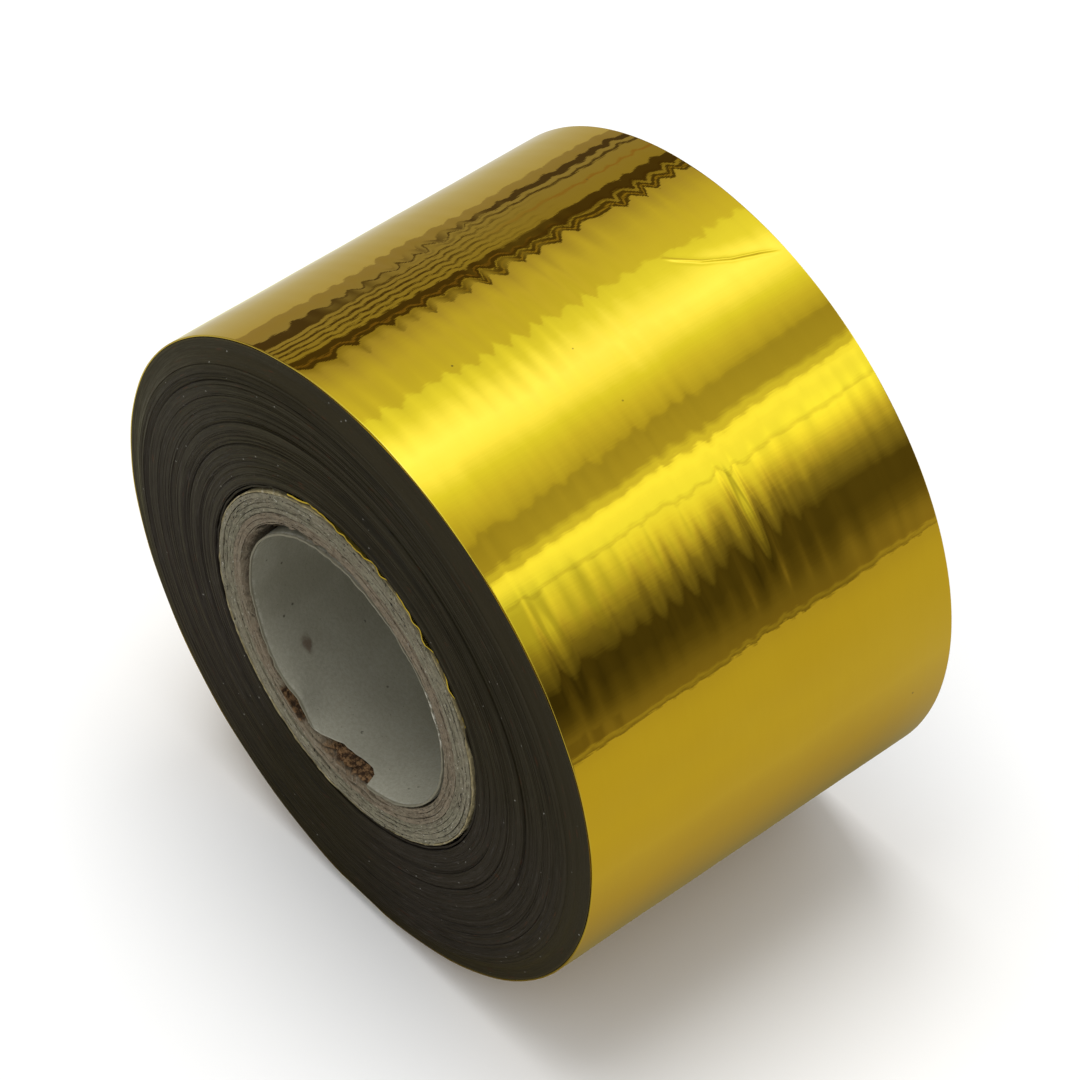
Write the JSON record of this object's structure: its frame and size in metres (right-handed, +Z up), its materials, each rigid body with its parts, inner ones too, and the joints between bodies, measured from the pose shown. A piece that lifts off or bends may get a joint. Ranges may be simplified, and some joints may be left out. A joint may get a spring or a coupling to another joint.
{
  "type": "roll of metallised foil film",
  "caption": "Narrow roll of gold metallised foil film wound on a spiral-ply paperboard core with an open bore; the film's free end peels off the roll.",
  "frame": {"origin": "middle of the overall box, on the roll's axis", "axes": "+Y along the roll's axis, from the end where the core stands proud to the flush end; +Z up with the roll lying on its side; +X to the right seen from the proud end"},
  "size_m": [0.062, 0.041, 0.0619],
  "materials": {
    "gold_foil": "polished",
    "slit_edge": "satin",
    "liner_paper": "matte",
    "brown_board": "matte",
    "grey_board": "matte",
    "wrap_paper": "matte",
    "start_tape": "satin"
  },
  "bodies": {
    "roll": {"core_liner": "liner_paper", "core_ply_brown_1": "brown_board", "core_ply_brown_2": "brown_board", "core_ply_brown_3": "brown_board", "core_ply_grey_1": "grey_board", "core_ply_grey_2": "grey_board", "core_ply_grey_3": "grey_board", "core_ply_grey_4": "grey_board", "core_wrap": "wrap_paper", "start_tape": "start_tape", "web_first_turns": "gold_foil", "web_windings_1": "slit_edge", "web_windings_2": "slit_edge", "web_windings_3": "slit_edge", "web_windings_4": "slit_edge", "web_windings_5": "slit_edge", "web_windings_6": "gold_foil", "web_outer_turn": "gold_foil"},
    "tail_1": {"web_tail_1": "gold_foil"},
    "tail_2": {"web_tail_2": "gold_foil"},
    "tail_3": {"web_tail_3": "gold_foil"},
    "tail_4": {"web_tail_4": "gold_foil"}
  },
  "joints": [
    {"name": "tail_peel_1", "type": "hinge", "parent": "roll", "child": "tail_1", "pos_m": [-0.02734, 0.00055, 0.01461], "axis": [0, 1, 0], "range_deg": [0, 30]},
    {"name": "tail_peel_2", "type": "hinge", "parent": "tail_1", "child": "tail_2", "pos_m": [-0.02967, 0.00055, 0.009], "axis": [0, 1, 0], "range_deg": [0, 30]},
    {"name": "tail_peel_3", "type": "hinge", "parent": "tail_2", "child": "tail_3", "pos_m": [-0.03085, 0.00055, 0.00304], "axis": [0, 1, 0], "range_deg": [0, 30]},
    {"name": "tail_peel_4", "type": "hinge", "parent": "tail_3", "child": "tail_4", "pos_m": [-0.03085, 0.00055, -0.00304], "axis": [0, 1, 0], "range_deg": [0, 30]}
  ],
  "couplings": [
    {"joint": "tail_peel_2", "follows": "tail_peel_1", "ratio": 1},
    {"joint": "tail_peel_3", "follows": "tail_peel_1", "ratio": 1},
    {"joint": "tail_peel_4", "follows": "tail_peel_1", "ratio": 1}
  ]
}
